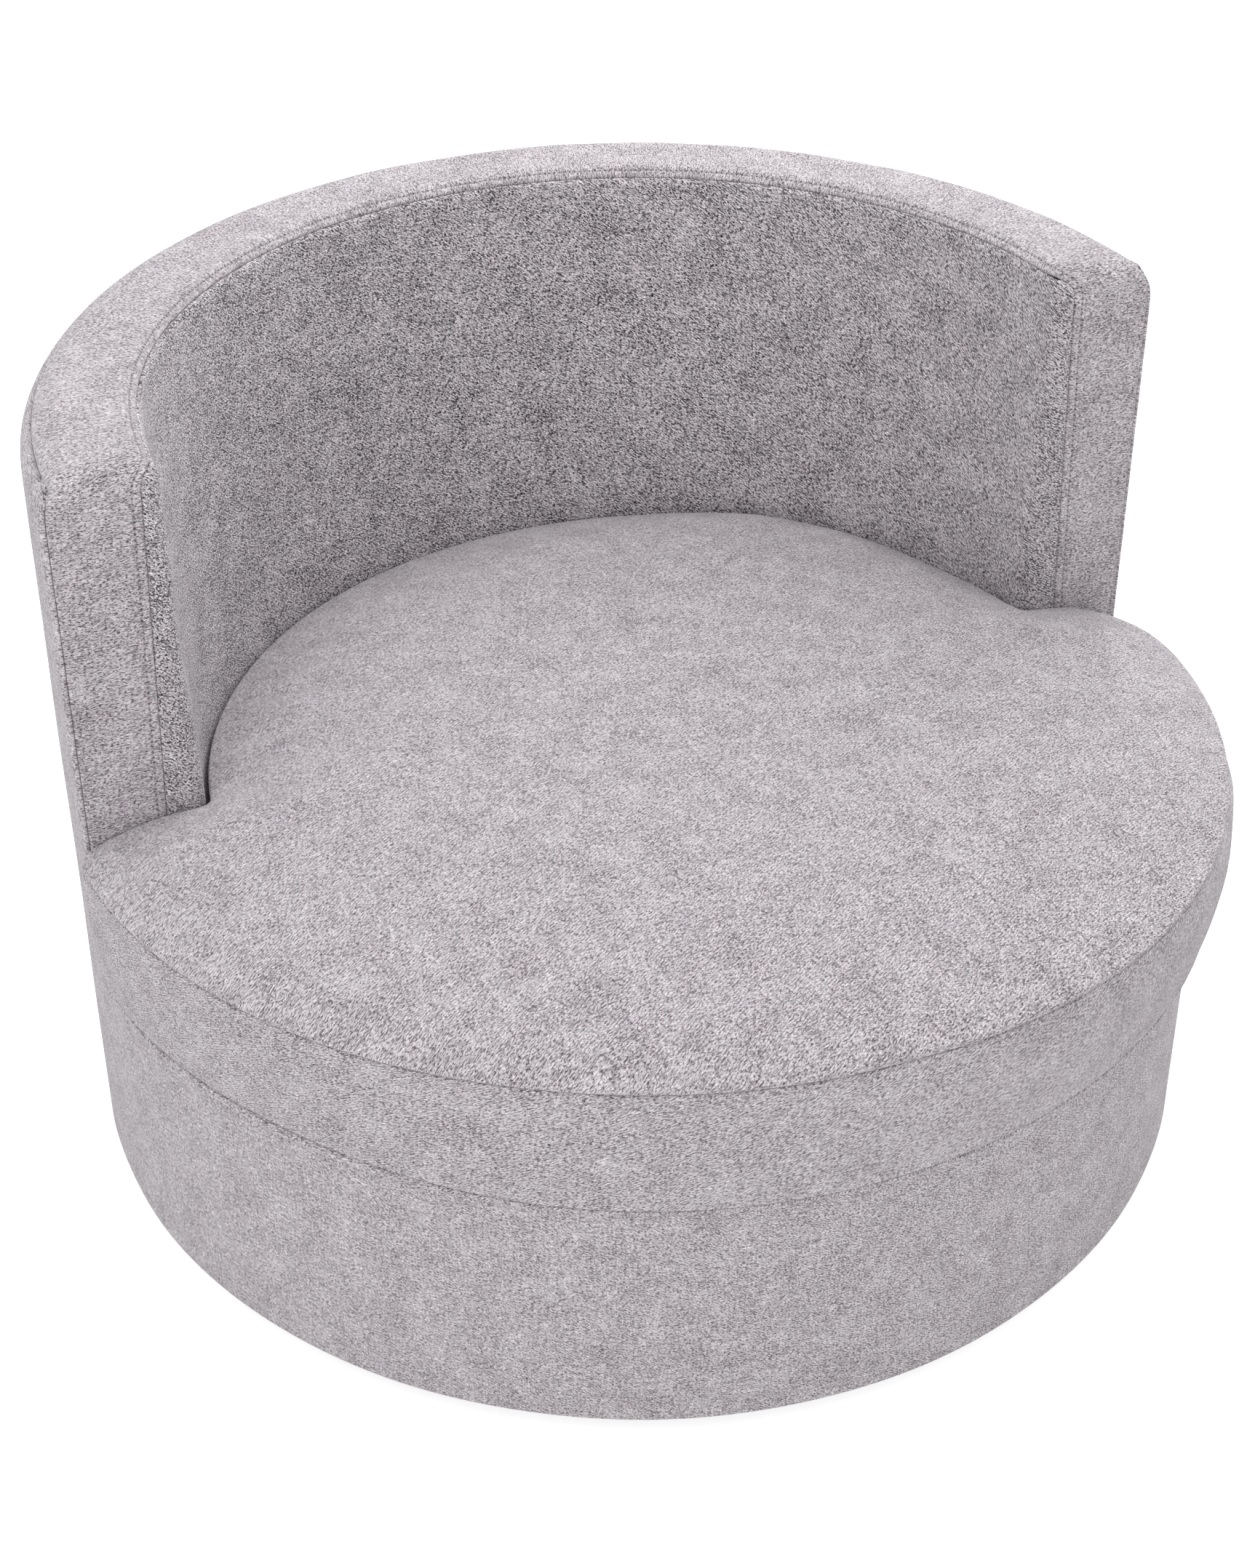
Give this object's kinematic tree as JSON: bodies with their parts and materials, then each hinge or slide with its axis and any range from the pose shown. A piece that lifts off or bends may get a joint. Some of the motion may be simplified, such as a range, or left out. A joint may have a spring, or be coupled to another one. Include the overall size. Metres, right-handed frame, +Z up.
{
  "type": "cuddle chair",
  "caption": "Round swivel lounge chair: drum base, half-round reclined back with flat arm ends, and a loose T-shaped cushion, all in light grey cloth.",
  "frame": {"origin": "on the floor, on the swivel axis at the middle of the round base", "axes": "+Z up, -Y towards the open front of the seat, +X towards the right arm as seen from the front"},
  "size_m": [1.059, 1.054, 0.748],
  "materials": {
    "seat_cloth": "heathered woven cloth",
    "body_cloth": "heathered woven cloth",
    "band_cloth": "heathered woven cloth",
    "seat_foam": "open cell foam",
    "back_foam": "open cell foam",
    "fibre": "polyester wadding",
    "felt": "pressed felt",
    "lining": "black nonwoven",
    "plywood": "bare birch plywood",
    "hardboard": "bare hardboard",
    "steel": "zinc plated",
    "spring_steel": "oiled spring wire",
    "glide": "moulded nylon"
  },
  "bodies": {
    "floor_base": {"plinth_board": "plywood", "swivel_lower_plate": "steel", "glide_1": "glide", "glide_2": "glide", "glide_3": "glide", "glide_4": "glide", "glide_5": "glide", "glide_6": "glide", "plinth_screw_1": "steel", "plinth_screw_2": "steel", "plinth_screw_3": "steel", "plinth_screw_4": "steel"},
    "bearing": {"ball_race": "steel"},
    "chair": {"base_front_cover": "body_cloth", "outside_back_cover": "body_cloth", "inside_back_cover": "body_cloth", "top_band_cover": "band_cloth", "deck_edge_roll": "seat_foam", "back_foam_right": "back_foam", "back_foam_left": "back_foam", "base_front_padding": "fibre", "outside_back_padding": "fibre", "deck_pad": "felt", "deck_cover": "lining", "dust_cover": "lining", "swivel_rail_front": "plywood", "swivel_rail_rear": "plywood", "base_bottom_ring": "plywood", "seat_ring": "plywood", "arm_end_rib_left": "plywood", "arm_end_rib_right": "plywood", "back_top_rail": "plywood", "front_post_1": "plywood", "front_post_2": "plywood", "front_post_3": "plywood", "front_post_4": "plywood", "front_post_5": "plywood", "back_rib_1": "plywood", "back_rib_2": "plywood", "back_rib_3": "plywood", "back_rib_4": "plywood", "back_rib_5": "plywood", "base_front_panel": "hardboard", "outside_back_panel": "hardboard", "inside_back_panel": "hardboard", "swivel_upper_plate": "steel", "rail_bolt_1": "steel", "rail_bolt_2": "steel", "rail_bolt_3": "steel", "rail_bolt_4": "steel", "seat_spring_1": "spring_steel", "seat_spring_2": "spring_steel", "seat_spring_3": "spring_steel", "seat_spring_4": "spring_steel", "seat_spring_5": "spring_steel", "seat_spring_6": "spring_steel"},
    "cushion": {"cushion_core": "seat_foam", "cushion_top_panel": "seat_cloth", "cushion_boxing": "seat_cloth", "cushion_bottom_panel": "seat_cloth"}
  },
  "joints": [
    {"name": "swivel", "type": "hinge", "parent": "floor_base", "child": "chair", "pos_m": [0, 0, 0.032], "axis": [0, 0, 1], "continuous": true},
    {"name": "bearing_roll", "type": "hinge", "parent": "floor_base", "child": "bearing", "pos_m": [0, 0, 0.032], "axis": [0, 0, 1], "continuous": true},
    {"name": "cushion_lift", "type": "slide", "parent": "chair", "child": "cushion", "axis": [0, 0, 1], "range_m": [0, 0.5]}
  ],
  "couplings": [
    {"joint": "bearing_roll", "follows": "swivel", "ratio": 0.5}
  ]
}
